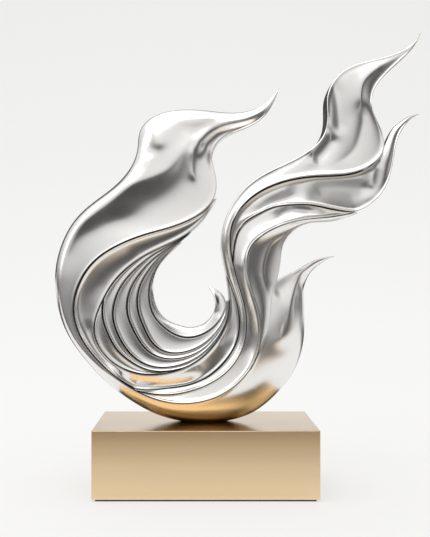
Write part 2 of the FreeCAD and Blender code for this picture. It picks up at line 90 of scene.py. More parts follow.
# Borders that lie a share of the way from one border to another.
sharedBorders = {
    "nest1": ("cup", "rim", [(15, 0), (16, 0.12), (17, 0.20), (18, 0.20), (19, 0.18),
                             (20, 0.12), (21, 0.06), (22, 0)]),
    "nest2": ("cup", "rim", [(11, 0.30), (13, 0.28), (15, 0.26), (17, 0.34), (19, 0.27),
                             (21, 0.17), (23, 0.17), (25, 0.20), (27, 0.25)]),
    "nest3": ("cup", "rim", [(11, 0.55), (13, 0.55), (15, 0.53), (17, 0.59), (19, 0.50),
                             (21, 0.40), (23, 0.36), (25, 0.40), (27, 0.50)]),
    "nest4": ("cup", "rim", [(11, 0.75), (13, 0.75), (15, 0.74), (17, 0.76), (19, 0.64),
                             (21, 0.57), (23, 0.58), (25, 0.60), (27, 0.75)]),
    "stem": ("cup", "crest", [(20, 1), (21, 0.62), (22, 0.53), (23, 0.50), (24, 0.46),
                              (25, 0.43), (26, 0.36), (27, 0.28), (28, 0.16), (29, 0)]),
    "fork": ("front", "crest", [(30, 0), (31, 0.20), (32, 0.27), (33, 0.33), (34, 0.42),
                                (35, 0.47), (36, 0.56), (37, 0.65), (38, 0.785),
                                (39, 0.91), (40, 1)]),
}


def splineThrough(stations, values):
    # natural cubic spline, worked out once and read at many stations
    stations = np.asarray(stations, float)
    values = np.asarray(values, float)
    count = len(stations)
    step = np.diff(stations)
    system = np.zeros((count, count))
    right = np.zeros((count,) + values.shape[1:])
    system[0, 0] = system[-1, -1] = 1
    for i in range(1, count - 1):
        system[i, i - 1:i + 2] = step[i - 1], 2 * (step[i - 1] + step[i]), step[i]
        after = (values[i + 1] - values[i]) / step[i]
        before = (values[i] - values[i - 1]) / step[i - 1]
        right[i] = 6 * (after - before)
    bend = np.linalg.solve(system, right)

    def read(at):
        at = np.clip(np.asarray(at, float), stations[0], stations[-1])
        i = np.clip(np.searchsorted(stations, at, side="right") - 1, 0, count - 2)
        h = step[i]
        a, b = (stations[i + 1] - at) / h, (at - stations[i]) / h
        if values.ndim > 1:
            h, a, b = h[..., None], a[..., None], b[..., None]
        cubic = (a ** 3 - a) * bend[i] + (b ** 3 - b) * bend[i + 1]
        return a * values[i] + b * values[i + 1] + cubic * h ** 2 / 6
    return read


def law(*knots):
    return splineThrough([k for k, value in knots], [value for k, value in knots])


def evened(curve, first, last, spread=0.45, perStation=16):
    # a soft average along the stations takes out the unevenness of points in whole mm
    fine = np.linspace(first, last, int((last - first) * perStation) + 1)
    points = curve(fine)
    reach = int(3 * spread * perStation)
    offsets = np.arange(-reach, reach + 1)
    weights = np.exp(-0.5 * (offsets / (spread * perStation)) ** 2)
    weights /= weights.sum()
    before = 2 * points[0] - points[reach:0:-1]      # turned about the end, so ends stay put
    after = 2 * points[-1] - points[-2:-reach - 2:-1]
    padded = np.vstack([before, points, after])
    smooth = sum(w * padded[i:i + len(points)] for i, w in enumerate(weights))
    return splineThrough(fine[::4], smooth[::4])


borders = {}
for borderName, points in borderPoints.items():
    raw = splineThrough([p[0] for p in points], [p[1:] for p in points])
    borders[borderName] = evened(raw, points[0][0], points[-1][0])


def shareBorder(first, second, knots):
    share = law(*knots)

    def read(at):
        a, b = borders[first](at), borders[second](at)
        return a + share(at)[..., None] * (b - a)
    return read


for borderName, (first, second, knots) in sharedBorders.items():
    borders[borderName] = shareBorder(first, second, knots)


def follow(*pieces):
    # one border made of several that follow each other: (name, last station)
    def read(at):
        at = np.asarray(at, float)
        result = borders[pieces[-1][0]](at)
        for name, last in reversed(pieces[:-1]):
            result = np.where((at <= last)[..., None], borders[name](at), result)
        return result
    return read


# What a user would change on each ribbon, in mm. It lies between its borders a and b, over
# the stations in span. frontA and frontB are how far the face stands out along its two
# borders, dish hollows (-) or crowns (+) it between them, and rollA is the share of the width
# that rolls over to an outer edge. lipA and lipB raise a rim, sinkA and sinkB lower the face
# beside a neighbour's rim, and lean moves the ribbon back (+) or forward (-). softB is where
# the ribbon runs almost flush into its neighbour along b, and the seam shade along a and b is
# painted shade: how dark the silver is painted at the seams, in place of the shadow in the
# grooves. folds are ridges (+) and valleys (-) along a line on the face: its points, height,
# reach to the left and to the right of the line, and how soft the crest is ("turn" for a face
# that stands proud on the left of its line and low on the right).
ribbonSettings = {
    "outerFlame": dict(
        node="outer_flame_casting",
        a=follow(("outer", 34)), b=follow(("crest", 25), ("tongue", 34)), span=(0, 34),
        frontA=law((0, 0.5), (3, 1.0), (34, 0.5)),
        frontB=law((0, 0.6), (2, 6), (4, 11), (6, 15), (9, 20), (12, 24), (16, 28), (20, 31),
                   (23, 33), (25, 34), (27, 28), (29, 20), (31, 12), (33, 4), (34, 0.6)),
        dish=law((0, 0), (4, 2), (8, -2), (12, -2), (17, 1), (23, 0), (28, 1), (34, 0)),
        rollA=law((0, 0.8), (4, 0.45), (8, 0.22), (12, 0.22), (16, 0.45), (19, 0.9), (22, 1.4),
                  (25, 1.4), (28, 0.9), (30, 0.7), (34, 0.8)),
        lipA=0.0, lipB=0.6, sinkA=0, sinkB=0,
        lean=law((0, 11), (3, 6), (6, 2), (9, 0), (28, 0), (31, -3), (34, -9)),
        seamShadeB=law((0, 0), (8, 0), (11, 0.8), (25, 0.8), (26, 0), (34, 0)),
        softB=law((0, 0), (25, 0), (27, 1), (31, 1), (33, 0), (34, 0)),
        folds=[
            # the long crest across the left tongue and the turned-down face below it
            ([(-98, 271), (-83, 277), (-66, 282), (-44, 290), (-30, 300), (-16, 319),
              (-5, 329)], 1.8, 12, 11, 1.5),
            ([(-113, 257), (-97, 264), (-73, 268), (-55, 273), (-41, 280), (-26, 294), (-18, 309),
              (-13, 320)], 0.6, 12, 12, "turn"),
            ([(-141, 196), (-134, 220), (-120, 238), (-100, 248), (-76, 254), (-44, 258)],
             0.75, 9, 9, "turn"),
            # the facet under the shoulder
            ([(-63, 341), (-57, 330), (-50, 319), (-43, 308)], 1.1, 7, 7, "turn"),
            # the edge below the tip, and the narrow crest beside it
            ([(-8, 300), (-5, 314), (1, 324), (12, 333), (28, 338), (46, 344), (62, 355)],
             1.1, 4, 4, "turn"),
            ([(-11, 320), (-13, 306), (-13, 294), (-10, 282)], 1.2, 3, 3, 0.8),
            ([(-32, 339), (-8, 340), (22, 345)], 0.5, 6, 6, "turn"),
            # the right tongue: its crest, the hollow nose and the dark band round the middle
            ([(116, 216), (95, 206), (86, 195), (81, 182), (77, 167), (74, 150)], 1.1, 10, 5, 0.9),
            ([(58, 184), (68, 191), (82, 199), (98, 207)], 0.85, 7, 7, "turn"),
            ([(57, 146), (66, 137), (77, 139), (86, 150), (90, 168), (91, 186), (91, 202)],
             0.6, 7, 7, "turn"),
        ]),
    "leftRibbon": dict(
        node="left_ribbon",
        a=follow(("crest", 20), ("stem", 29)), b=follow(("cup", 29)), span=(8, 29),
        frontA=law((8, 13), (10, 17), (12, 20), (14, 22.5), (16, 26), (18, 29), (20, 30),
                   (22, 29), (24, 29), (26, 27), (29, 20)),
        frontB=law((8, 12), (10, 15), (12, 17), (16, 22), (20, 27), (24, 28), (27, 23), (29, 19)),
        dish=law((8, 0), (12, -1.2), (16, -1.4), (20, -1), (24, -1.5), (29, 0)),
        lipA=1.3, lipB=0.8, sinkA=0, sinkB=0,
        seamShadeA=law((8, 0), (21, 0), (23, 0.7), (29, 0.7)),
        seamShadeB=law((8, 0), (11, 0), (13, 0.8), (29, 0.8)),
        folds=[
            ([(-114, 176), (-101, 196), (-88, 209), (-74, 217), (-61, 222)],
             0.45, 11, 11, "turn"),
            ([(-103, 160), (-100, 144), (-93, 128), (-80, 115)], 0.75, 7, 7, "turn"),
            ([(-91, 114), (-66, 103), (-40, 100), (-16, 103), (0, 111)], 3.0, 8, 8, "turn"),
            ([(-16, 106), (4, 115), (15, 128), (22, 144)], 0.8, 8, 8, "turn"),
            ([(-54, 92), (-24, 93), (2, 103), (22, 122), (30, 148)], 0.7, 7, 7, "turn"),
        ]),
    "upperFlame": dict(
        node="upper_flame_ribbon",
        a=follow(("stem", 29), ("cup", 53)), b=follow(("front", 53)), span=(20, 53),
        frontA=law((20, 29), (22, 28.5), (26, 28), (30, 25), (34, 23), (38, 19), (42, 14),
                   (46, 9), (50, 5), (53, 0.6)),
        frontB=law((20, 31), (24, 33), (27, 33), (30, 31), (34, 28), (38, 24), (42, 19),
                   (46, 11), (50, 5), (53, 0.6)),
        dish=law((20, 0), (24, -0.8), (30, -1), (36, -1.2), (41, 0), (45, 1.5), (50, 0.8), (53, 0)),
        lean=law((36, 0), (40, -2), (45, -4), (50, -9), (53, -14)),
        lipA=1.0, lipB=1.5, sinkA=1.0, sinkB=0,
        seamShadeA=law((20, 0.3), (28, 0.3), (30, 0), (53, 0)),
        folds=[
            ([(181, 401), (161, 390), (149, 381), (143, 371), (142, 356), (144, 343)],
             1.3, 5, 9, 0.9),
            ([(142, 364), (144, 343), (142, 329), (134, 311), (112, 296)], -1.0, 9, 5, 0.9),
            ([(146, 350), (147, 368), (153, 380), (168, 393)], 0.4, 5, 5, "turn"),
            ([(119, 325), (118, 350), (115, 380)], 0.6, 5, 5, "turn"),
            ([(116, 376), (111, 359), (113, 340), (110, 325), (97, 310), (84, 300)],
             0.5, 2.5, 2.5, 0.8),
            ([(94, 303), (106, 315), (116, 330)], 0.9, 5, 5, "turn"),
            ([(60, 283), (85, 293), (112, 303)], 0.4, 5, 5, "turn"),
        ]),
    "frontRibbon": dict(
        node="front_ribbon",
        a=follow(("front", 30), ("fork", 40)), b=follow(("crest", 40)), span=(20, 40),
        frontA=law((20, 29), (24, 30), (27, 30), (30, 28), (33, 24), (36, 20), (38, 16), (40, 12)),
        frontB=law((20, 31), (23, 33.5), (25, 35), (27, 36), (30, 33), (33, 28), (36, 22),
                   (38, 17), (40, 12)),
        dish=law((20, 0), (24, -0.8), (30, -1.2), (35, -1.2), (40, 0)),
        lipA=0.0, lipB=1.8, sinkA=1.8, sinkB=0,
        seamShadeA=law((20, 0.8), (38, 0.9), (40, 0.4)),
        folds=[
            ([(56, 250), (72, 259), (86, 261), (112, 257)], 0.9, 4.5, 4.5, "turn"),
            ([(30, 118), (37, 140), (36, 158), (33, 180)], 0.7, 5, 5, "turn"),
        ]),
    "middleTongue": dict(
        node="middle_tongue_ribbon",
        a=follow(("front", 43), ("mid", 49)), b=follow(("fork", 40), ("crest", 49)), span=(30, 49),
        frontA=law((30, 28), (33, 24), (36, 20), (39, 16), (42, 13), (45, 8), (49, 0.6)),
        frontB=law((30, 29), (33, 26), (36, 23), (39, 19), (42, 14), (45, 8), (49, 0.6)),
        dish=law((30, 0), (34, -1.2), (38, -1.5), (42, -0.5), (45, 0.5), (49, 0)),
        lean=law((38, 0), (42, 2), (46, 6), (49, 12)),
        lipA=0.0, lipB=1.5, sinkA=3.0, sinkB=0,
        seamShadeA=law((30, 0.9), (41, 0.9), (44, 0), (49, 0)),
        folds=[
            ([(36, 248), (54, 263), (68, 270), (88, 279)], 1.1, 6, 6, "turn"),
            ([(88, 279), (112, 284), (136, 284), (158, 284)], 0.8, 7, 7, "turn"),
            ([(132, 264), (156, 267), (168, 282), (176, 310), (189, 341)], 0.7, 5, 5, "turn"),
            ([(157, 300), (152, 276)], 0.6, 4, 4, 1.2),
        ]),
    "rearWeb": dict(
        node="rear_web",
        a=follow(("crest", 40)), b=follow(("tongue", 30), ("arm", 40)), span=(25, 40),
        frontA=law((25, 31), (27, 30), (30, 26), (33, 22), (36, 17), (38, 13), (40, 10)),
        frontB=law((25, 32.5), (27, 28), (29, 21), (31, 15), (34, 12), (37, 10), (40, 8)),
        dish=law((25, 0), (28, -1.6), (32, -2.2), (36, -1), (40, 0)),
        lipA=0.0, lipB=0.5, sinkA=1.5, sinkB=0,
        seamShadeA=law((25, 0.9), (38, 0.9), (40, 0.5)),
        softB=law((25, 0), (27, 1), (31, 1), (33, 0), (40, 0)),
        folds=[
            ([(88, 243), (71, 235), (59, 226), (54, 214), (52, 202), (54, 190), (57, 180)],
             0.6, 3, 5, 0.8),
        ]),
    "hookLip": dict(
        node="hook_lip",
        a=follow(("rim", 30)), b=follow(("hole", 30)), span=(11, 30),
        frontA=law((11, 9), (14, 12), (18, 13), (22, 12), (26, 9), (28, 5.5), (30, 0.6)),
        frontB=law((11, 8), (14, 8), (18, 8), (22, 8), (26, 8), (28, 5.5), (30, 0.6)),
        dish=law((11, 0), (18, 1), (24, 1), (30, 0)),
        lipA=0.8, lipB=0.5, sinkA=0, sinkB=0,
        folds=[
            ([(6, 160), (11, 172), (5, 186)], 0.8, 4, 4, "turn"),
        ]),
}

# What the nest's fins share. drop is the share of the height lost at the deepest border, and
# step is how far each fin rises at one border and falls at the other.
nestSettings = dict(
    count=5, drop=0.5, step=-1.3, lip=0.7, sink=0.5, dish=-1.0,
    height=law((10, 13), (11, 15), (13, 19), (16, 25), (20, 30), (23, 30), (25, 26), (27, 21)),
    # The last law is painted shade: how dark each fin's seam along b is painted, in place of the
    # shadow in the groove.
    seamShade=law((10, 0.2), (13, 0.7), (24, 0.7), (27, 0.1)))
nestBorders = [    # each border, and how deep it sits from the nest's edge (0) to its eye (1)
    (follow(("cup", 27)), 0.0),
    (follow(("cup", 15), ("nest1", 22), ("cup", 27)), 0.10),
    (follow(("nest2", 27)), 0.27),
    (follow(("nest3", 27)), 0.50),
    (follow(("nest4", 27)), 0.70),
    (follow(("rim", 27)), 1.0),
]


def nestHeight(depth, change):
    def read(at):
        return nestSettings["height"](at) * (1 - nestSettings["drop"] * depth) + change
    return read


for i in range(nestSettings["count"]):
    (borderA, depthA), (borderB, depthB) = nestBorders[i], nestBorders[i + 1]
    ribbonSettings["nestFin%d" % (i + 1)] = dict(
        node="nest_fin_%d" % (i + 1), a=borderA, b=borderB,
        span=(10, 27) if i else (15, 22),            # the first fin is a short sliver
        frontA=nestHeight(depthA, nestSettings["step"]),
        frontB=nestHeight(depthB, -nestSettings["step"]),
        dish=law((11, 0), (19, nestSettings["dish"]), (27, 0)),
        lipA=nestSettings["lip"], lipB=0.0, sinkA=0.0, sinkB=nestSettings["sink"],
        seamShadeB=nestSettings["seamShade"], folds=[])

# What all the ribbons share, in mm and shares: how finely each is meshed, its seams and
# rounded rims, the reach of its lips, sinks, painted seam shade and folds, and where they shrink.
meshSettings = dict(
    perStation=10, across=34, rounding=7, backShare=0.85,
    gap=0.25, gapShare=0.2, softGap=0.8, softRim=0.85,
    rimRadius=1.3, rimWidthShare=0.42, rimHeightShare=0.8,
    lipReach=2.0, sinkReach=5.0, seamShadeReach=0.95, leastReach=0.3,
    foldGain=1.4, foldSamples=48, foldFade=0.25, foldLeft=0.15,
    narrow=9, sinkNarrow=20, leastWidth=0.25, leastHeight=0.3, leastRise=0.12)


def eased(share):
    return share * share * (3 - 2 * share)


def softAlong(setting, k):
    return np.clip(setting["softB"](k), 0, 1) if "softB" in setting else np.zeros_like(k)


def alongFold(points, x, z):
    # signed distance from a smooth line, and how far along it, for many places
    samples = np.linspace(0, len(points) - 1, meshSettings["foldSamples"])
    line = splineThrough(range(len(points)), points)(samples)
    start, step = line[:-1], np.diff(line, axis=0)
    place = np.stack([x, z], -1).reshape(-1, 1, 2)
    along = ((place - start) * step).sum(-1) / (step ** 2).sum(-1)
    along = np.clip(along, 0, 1)
    offset = place - start - along[..., None] * step
    distance = np.hypot(offset[..., 0], offset[..., 1])
    nearest = distance.argmin(1)
    row = np.arange(len(nearest))
    side = step[nearest, 0] * offset[row, nearest, 1] - step[nearest, 1] * offset[row, nearest, 0]
    travelled = (nearest + along[row, nearest]) / len(step)
    signed = distance[row, nearest] * np.sign(side)
    return signed.reshape(x.shape), travelled.reshape(x.shape)


def foldHeight(folds, x, z):
    total = np.zeros_like(x)
    for points, rise, leftReach, rightReach, crest in folds:
        distance, travelled = alongFold(points, x, z)
        reach = np.where(distance > 0, leftReach, rightReach)
        if crest == "turn":                          # highest and lowest at its reach
            profile = distance / reach * np.exp(0.5 - 0.5 * (distance / reach) ** 2)
            left = 0.0                               # what is left of the fold at its ends
        else:
            profile = np.exp((crest - np.sqrt(distance ** 2 + crest ** 2)) / reach)
            left = meshSettings["foldLeft"]
        fromEnds = np.stack([travelled, 1 - travelled]) / meshSettings["foldFade"]
        ends = np.clip(fromEnds, 0, 1).prod(0)
        total += meshSettings["foldGain"] * rise * profile * (left + (1 - left) * eased(ends))
    return total


def faceHeight(setting, k, share, width, folded=0.0):
    # how far the front stands out, for every station (down) and share (across)
    k, width = k[:, None], width[:, None]
    low, high = setting["frontA"](k), setting["frontB"](k)
    dish = setting["dish"](k) * 4 * share * (1 - share)
    narrow = width / meshSettings["narrow"]          # rims and folds shrink where it is narrow
    fade = eased(np.clip(narrow, 0, 1))
    if "rollA" in setting:
        turn = np.minimum(1, share / setting["rollA"](k))
        roll = np.sqrt(1 - (1 - turn) ** 2)
        height = low + (high - low) * roll + dish * roll + folded * roll * fade
    else:
        height = low + (high - low) * share + dish + folded * fade
    fromA, fromB = share * width, (1 - share) * width
    least = meshSettings["leastReach"]
    reach = meshSettings["lipReach"] * np.clip(narrow, least, 1)
    lipB = setting["lipB"] * (1 - softAlong(setting, k))
    height = height + setting["lipA"] * fade * np.exp(-(fromA / reach) ** 2)
    height = height + lipB * fade * np.exp(-(fromB / reach) ** 2)
    sinkReach = meshSettings["sinkReach"] * np.clip(width / meshSettings["sinkNarrow"], least, 1)
    height = height - setting["sinkA"] * fade * np.exp(-fromA / sinkReach)
    height = height - setting["sinkB"] * fade * np.exp(-fromB / sinkReach)
    return np.maximum(height, meshSettings["leastHeight"])


def seamShadeAt(setting, k, place, inner):
    # how dark the seams are painted, from 0 to 1, fading away from both borders; this is
    # painted shade, in place of the shadow in the grooves
    total = np.zeros_like(place)
    for key, away in (("seamShadeA", place), ("seamShadeB", inner[:, None] - place)):
        if key in setting:
            amount = np.clip(setting[key](k), 0, 1)[:, None]
            total = np.maximum(total, amount * np.exp(-(away / meshSettings["seamShadeReach"]) ** 2))
    return total


def ribbonRings(setting):
    # rings of points round the ribbon, front and back, and the painted seam shade at each point
    m = meshSettings
    first, last = setting["span"]
    k = np.linspace(first, last, int((last - first) * m["perStation"]) + 1)
    a, b = setting["a"](k), setting["b"](k)
    width = np.hypot(*(b - a).T)
    keep = width > m["leastWidth"]
    firstWide, lastWide = np.argmax(keep), len(keep) - 1 - np.argmax(keep[::-1])
    k, a, b, width = (v[firstWide:lastWide + 1] for v in (k, a, b, width))
    width = np.maximum(width, m["leastWidth"])
    direction = (b - a) / width[:, None]
    gap = np.minimum(m["gap"], m["gapShare"] * width)
    softB = softAlong(setting, k)
    inner = width - gap - gap * (1 - m["softGap"] * softB)

    turns = np.linspace(0, math.pi / 2, m["rounding"])
    middle = np.linspace(0, 1, m["across"] + 2)[1:-1]
    lean = setting["lean"](k) if "lean" in setting else np.zeros_like(k)

    def side(share):
        # the radius is held back where the ribbon is narrow or thin
        rough = faceHeight(setting, k, np.array([[0.5]]), width)[:, 0] * share
        radius = np.minimum(m["rimWidthShare"] * inner, m["rimHeightShare"] * rough)
        radius = np.minimum(m["rimRadius"], radius)
        radiusB = radius * (1 - m["softRim"] * softB)
        start, startB = ((1 - np.cos(turns)) * r[:, None] for r in (radius, radiusB))
        drop, dropB = ((1 - np.sin(turns)) * r[:, None] for r in (radius, radiusB))
        flat = radius[:, None] + middle[None, :] * (inner - radius - radiusB)[:, None]
        place = np.hstack([start, flat, inner[:, None] - startB[:, ::-1]])
        lowered = np.hstack([drop, np.zeros_like(flat), dropB[:, ::-1]])
        x = a[:, :1] + direction[:, :1] * place
        z = a[:, 1:] + direction[:, 1:] * place
        folded = foldHeight(setting["folds"], x, z)
        rise = faceHeight(setting, k, place / inner[:, None], width, folded) * share - lowered
        return place, np.maximum(rise, m["leastRise"])

    frontPlace, frontRise = side(1.0)
    backPlace, backRise = side(m["backShare"])
    place = np.hstack([frontPlace, backPlace[:, ::-1]]) + gap[:, None]
    depth = np.hstack([lean[:, None] - frontRise, lean[:, None] + backRise[:, ::-1]])
    x = a[:, :1] + direction[:, :1] * place
    z = a[:, 1:] + direction[:, 1:] * place
    seamShade = seamShadeAt(setting, k, place - gap[:, None], inner)
    return np.stack([x, depth, z], axis=-1) * mm, seamShade


def closedTube(name, rings, seamShade):
    # rings along the piece, closed round each ring and with a small fan at both ends
    count, around = rings.shape[:2]
    points = rings.reshape(-1, 3)
    index = np.arange(count * around).reshape(count, around)
    here, there = index[:-1], index[1:]
    quads = np.stack([here, np.roll(here, -1, 1), np.roll(there, -1, 1), there], -1)
    faces = quads.reshape(-1, 4).tolist()
    ends = np.array([rings[0].mean(0), rings[-1].mean(0)])
    points = np.vstack([points, ends])
    startTip, endTip = count * around, count * around + 1
    for i in range(around):
        j = (i + 1) % around
        faces.append([int(index[0, j]), int(index[0, i]), startTip])
        faces.append([int(index[-1, i]), int(index[-1, j]), endTip])
    mesh = bpy.data.meshes.new(name)
    mesh.from_pydata(points.tolist(), [], faces)
    work = bmesh.new()
    work.from_mesh(mesh)
    bmesh.ops.recalc_face_normals(work, faces=work.faces)
    work.to_mesh(mesh)
    work.free()
    mesh.polygons.foreach_set("use_smooth", [True] * len(mesh.polygons))
    # painted shade in the seams, handed to the silver finish as a point attribute
    mark = mesh.attributes.new("seamShade", "FLOAT", "POINT")
    mark.data.foreach_set("value", np.append(seamShade.reshape(-1), [0, 0]).astype(np.float32))
    piece = bpy.data.objects.new(name, mesh)
    bpy.context.scene.collection.objects.link(piece)
    return piece


for name, setting in ribbonSettings.items():
    setting["piece"] = closedTube(name, *ribbonRings(setting))
print("ribbons built:", len(ribbonSettings))


def startGroup(name, inputs, outputs):
    # a shader group that several finishes share: (label, kind, value) and (label, kind)
    group = bpy.data.node_groups.new(name, "ShaderNodeTree")
    for label, kind, value in inputs:
        socket = group.interface.new_socket(label, in_out="INPUT", socket_type=kind)
        socket.default_value = value
    for label, kind in outputs:
        group.interface.new_socket(label, in_out="OUTPUT", socket_type=kind)
    return group, group.nodes.new("NodeGroupInput"), group.nodes.new("NodeGroupOutput")


def mathNode(tree, operation, first, second=None, clamp=False):
    node = tree.nodes.new("ShaderNodeMath")
    node.operation = operation
    node.use_clamp = clamp
    for slot, value in enumerate((first, second)):
        if value is None:
            continue
        if isinstance(value, (int, float)):
            node.inputs[slot].default_value = value
        else:
            tree.links.new(value, node.inputs[slot])
    return node.outputs[0]


def placedNoise(tree, scale, detail, vector, stretch=(1, 1, 1), roughness=0.5):
    mapping = tree.nodes.new("ShaderNodeMapping")
    mapping.inputs["Scale"].default_value = stretch
    tree.links.new(vector, mapping.inputs["Vector"])
    noise = tree.nodes.new("ShaderNodeTexNoise")
    noise.inputs["Detail"].default_value = detail
    noise.inputs["Roughness"].default_value = roughness
    if isinstance(scale, (int, float)):
        noise.inputs["Scale"].default_value = scale
    else:
        tree.links.new(scale, noise.inputs["Scale"])
    tree.links.new(mapping.outputs[0], noise.inputs["Vector"])
    return noise.outputs["Fac"]


# The grain of every finish: how fine the haze in the cloud is and how much of it shows, the
# cloud's usual low and high, how far lines are drawn out, and how deep a bump can be in m.
grainSettings = dict(hazeScale=160.0, hazeShare=0.25, cloudLow=0.35, cloudHigh=0.65,
                     lineStretch=(0.02, 1.0, 1.0), marksStretch=(1.0, 0.25, 0.6),
                     bumpDistance=0.0002)


def makeSatinCloud():
    # soft unevenness of a hand polish: a slow cloud with finer haze in it
    s = grainSettings
    group, given, result = startGroup(
        "satinCloud",
        [("Size", "NodeSocketFloat", 9.0), ("Low", "NodeSocketFloat", 0.14),
         ("High", "NodeSocketFloat", 0.22)],
        [("Roughness", "NodeSocketFloat"), ("Mask", "NodeSocketFloat")])
    coords = group.nodes.new("ShaderNodeTexCoord")
    slow = placedNoise(group, given.outputs["Size"], 2.0, coords.outputs["Object"])
    fine = placedNoise(group, s["hazeScale"], 3.0, coords.outputs["Object"])
    mixed = mathNode(group, "ADD", mathNode(group, "MULTIPLY", slow, 1 - s["hazeShare"]),
                     mathNode(group, "MULTIPLY", fine, s["hazeShare"]), clamp=True)
    spread = group.nodes.new("ShaderNodeMapRange")
    spread.inputs["From Min"].default_value = s["cloudLow"]
    spread.inputs["From Max"].default_value = s["cloudHigh"]
    group.links.new(mixed, spread.inputs["Value"])
    group.links.new(given.outputs["Low"], spread.inputs["To Min"])
    group.links.new(given.outputs["High"], spread.inputs["To Max"])
    group.links.new(spread.outputs[0], result.inputs["Roughness"])
    group.links.new(mixed, result.inputs["Mask"])
    return group


def makeFineLines(name, detail, stretch):
    # a bump of fine lines, drawn out by the stretch
    group, given, result = startGroup(
        name, [("Fineness", "NodeSocketFloat", 900.0), ("Depth", "NodeSocketFloat", 0.04)],
        [("Normal", "NodeSocketVector")])
    coords = group.nodes.new("ShaderNodeTexCoord")
    lines = placedNoise(group, given.outputs["Fineness"], detail, coords.outputs["Object"],
                        stretch=stretch)
    bump = group.nodes.new("ShaderNodeBump")
    bump.inputs["Distance"].default_value = grainSettings["bumpDistance"]
    group.links.new(given.outputs["Depth"], bump.inputs["Strength"])
    group.links.new(lines, bump.inputs["Height"])
    group.links.new(bump.outputs[0], result.inputs["Normal"])
    return group


satinCloud = makeSatinCloud()
brushedGrain = makeFineLines("brushedGrain", 2.0, grainSettings["lineStretch"])    # along X
polishMarks = makeFineLines("polishMarks", 4.0, grainSettings["marksStretch"])     # by a cloth


def startMaterial(name, metallic):
    material = bpy.data.materials.new(name)
    material.use_nodes = True
    shader = material.node_tree.nodes["Principled BSDF"]
    shader.inputs["Metallic"].default_value = metallic
    return material, material.node_tree, shader


def addGroup(tree, group, **values):
    node = tree.nodes.new("ShaderNodeGroup")
    node.node_tree = group
    for label, value in values.items():
        node.inputs[label].default_value = value
    return node


def mixedColour(tree, factor, dark, light):
    mix = tree.nodes.new("ShaderNodeMix")
    mix.data_type = "RGBA"
    tree.links.new(factor, mix.inputs["Factor"])
    mix.inputs[6].default_value = (*dark, 1)
    mix.inputs[7].default_value = (*light, 1)
    return mix.outputs[2]


# In every finish dark and light are the two tones of its cloud, low and high its roughness,
# size the scale of its noise, and fineness and depth are those of its lines.
# The silver's last colour is painted shade: the near-black its seams are painted, in place of the
# shadow in the grooves.
silverSettings = dict(dark=(0.85, 0.84, 0.825), light=(0.94, 0.93, 0.915), low=0.21, high=0.26,
                      size=9.0, fineness=420.0, depth=0.02, seamShade=(0.035, 0.033, 0.03))


def makePolishedSilver():
    s = silverSettings
    material, tree, shader = startMaterial("polishedSilver", 1.0)
    cloud = addGroup(tree, satinCloud, Size=s["size"], Low=s["low"], High=s["high"])
    marks = addGroup(tree, polishMarks, Fineness=s["fineness"], Depth=s["depth"])
    seam = tree.nodes.new("ShaderNodeAttribute")     # painted shade in the seams, in place of their shadow
    seam.attribute_name = "seamShade"
    unshaded = mixedColour(tree, cloud.outputs["Mask"], s["dark"], s["light"])
    seamShaded = mixedColour(tree, seam.outputs["Fac"], s["dark"], s["seamShade"])
    tree.links.new(unshaded, seamShaded.node.inputs[6])
    tree.links.new(cloud.outputs["Roughness"], shader.inputs["Roughness"])
    tree.links.new(marks.outputs["Normal"], shader.inputs["Normal"])
    tree.links.new(seamShaded, shader.inputs["Base Color"])
    return material


# The cover's top face has its own tone, from a thin step just under its height. fade is
# painted shade on the sides, their brightness from the floor (0) to the top (1), brighter
# below and darker above in place of what their reflection gives, and the hold scales it
# down while a ramp holds it.
champagneSettings = dict(dark=(0.71, 0.535, 0.325), light=(0.79, 0.605, 0.375), low=0.22,
                         high=0.27, size=14.0, fineness=500.0, depth=0.012, coat=0.8,
                         coatRoughness=0.12, top=(0.58, 0.36, 0.142), topStep=(0.15, 0.02),
                         fade=[(0.0, 1.25), (0.12, 1.11), (0.45, 1.0), (0.72, 0.88), (1.0, 0.76)],
                         sideShadeHold=0.8)


def fillRamp(ramp, stops):
    ramp.color_ramp.interpolation = "EASE"
    ramp.color_ramp.elements[0].position = stops[0][0]
    ramp.color_ramp.elements[0].color = (*stops[0][1], 1)
    ramp.color_ramp.elements[1].position = stops[-1][0]
    ramp.color_ramp.elements[1].color = (*stops[-1][1], 1)
    for place, shade in stops[1:-1]:
        ramp.color_ramp.elements.new(place).color = (*shade, 1)


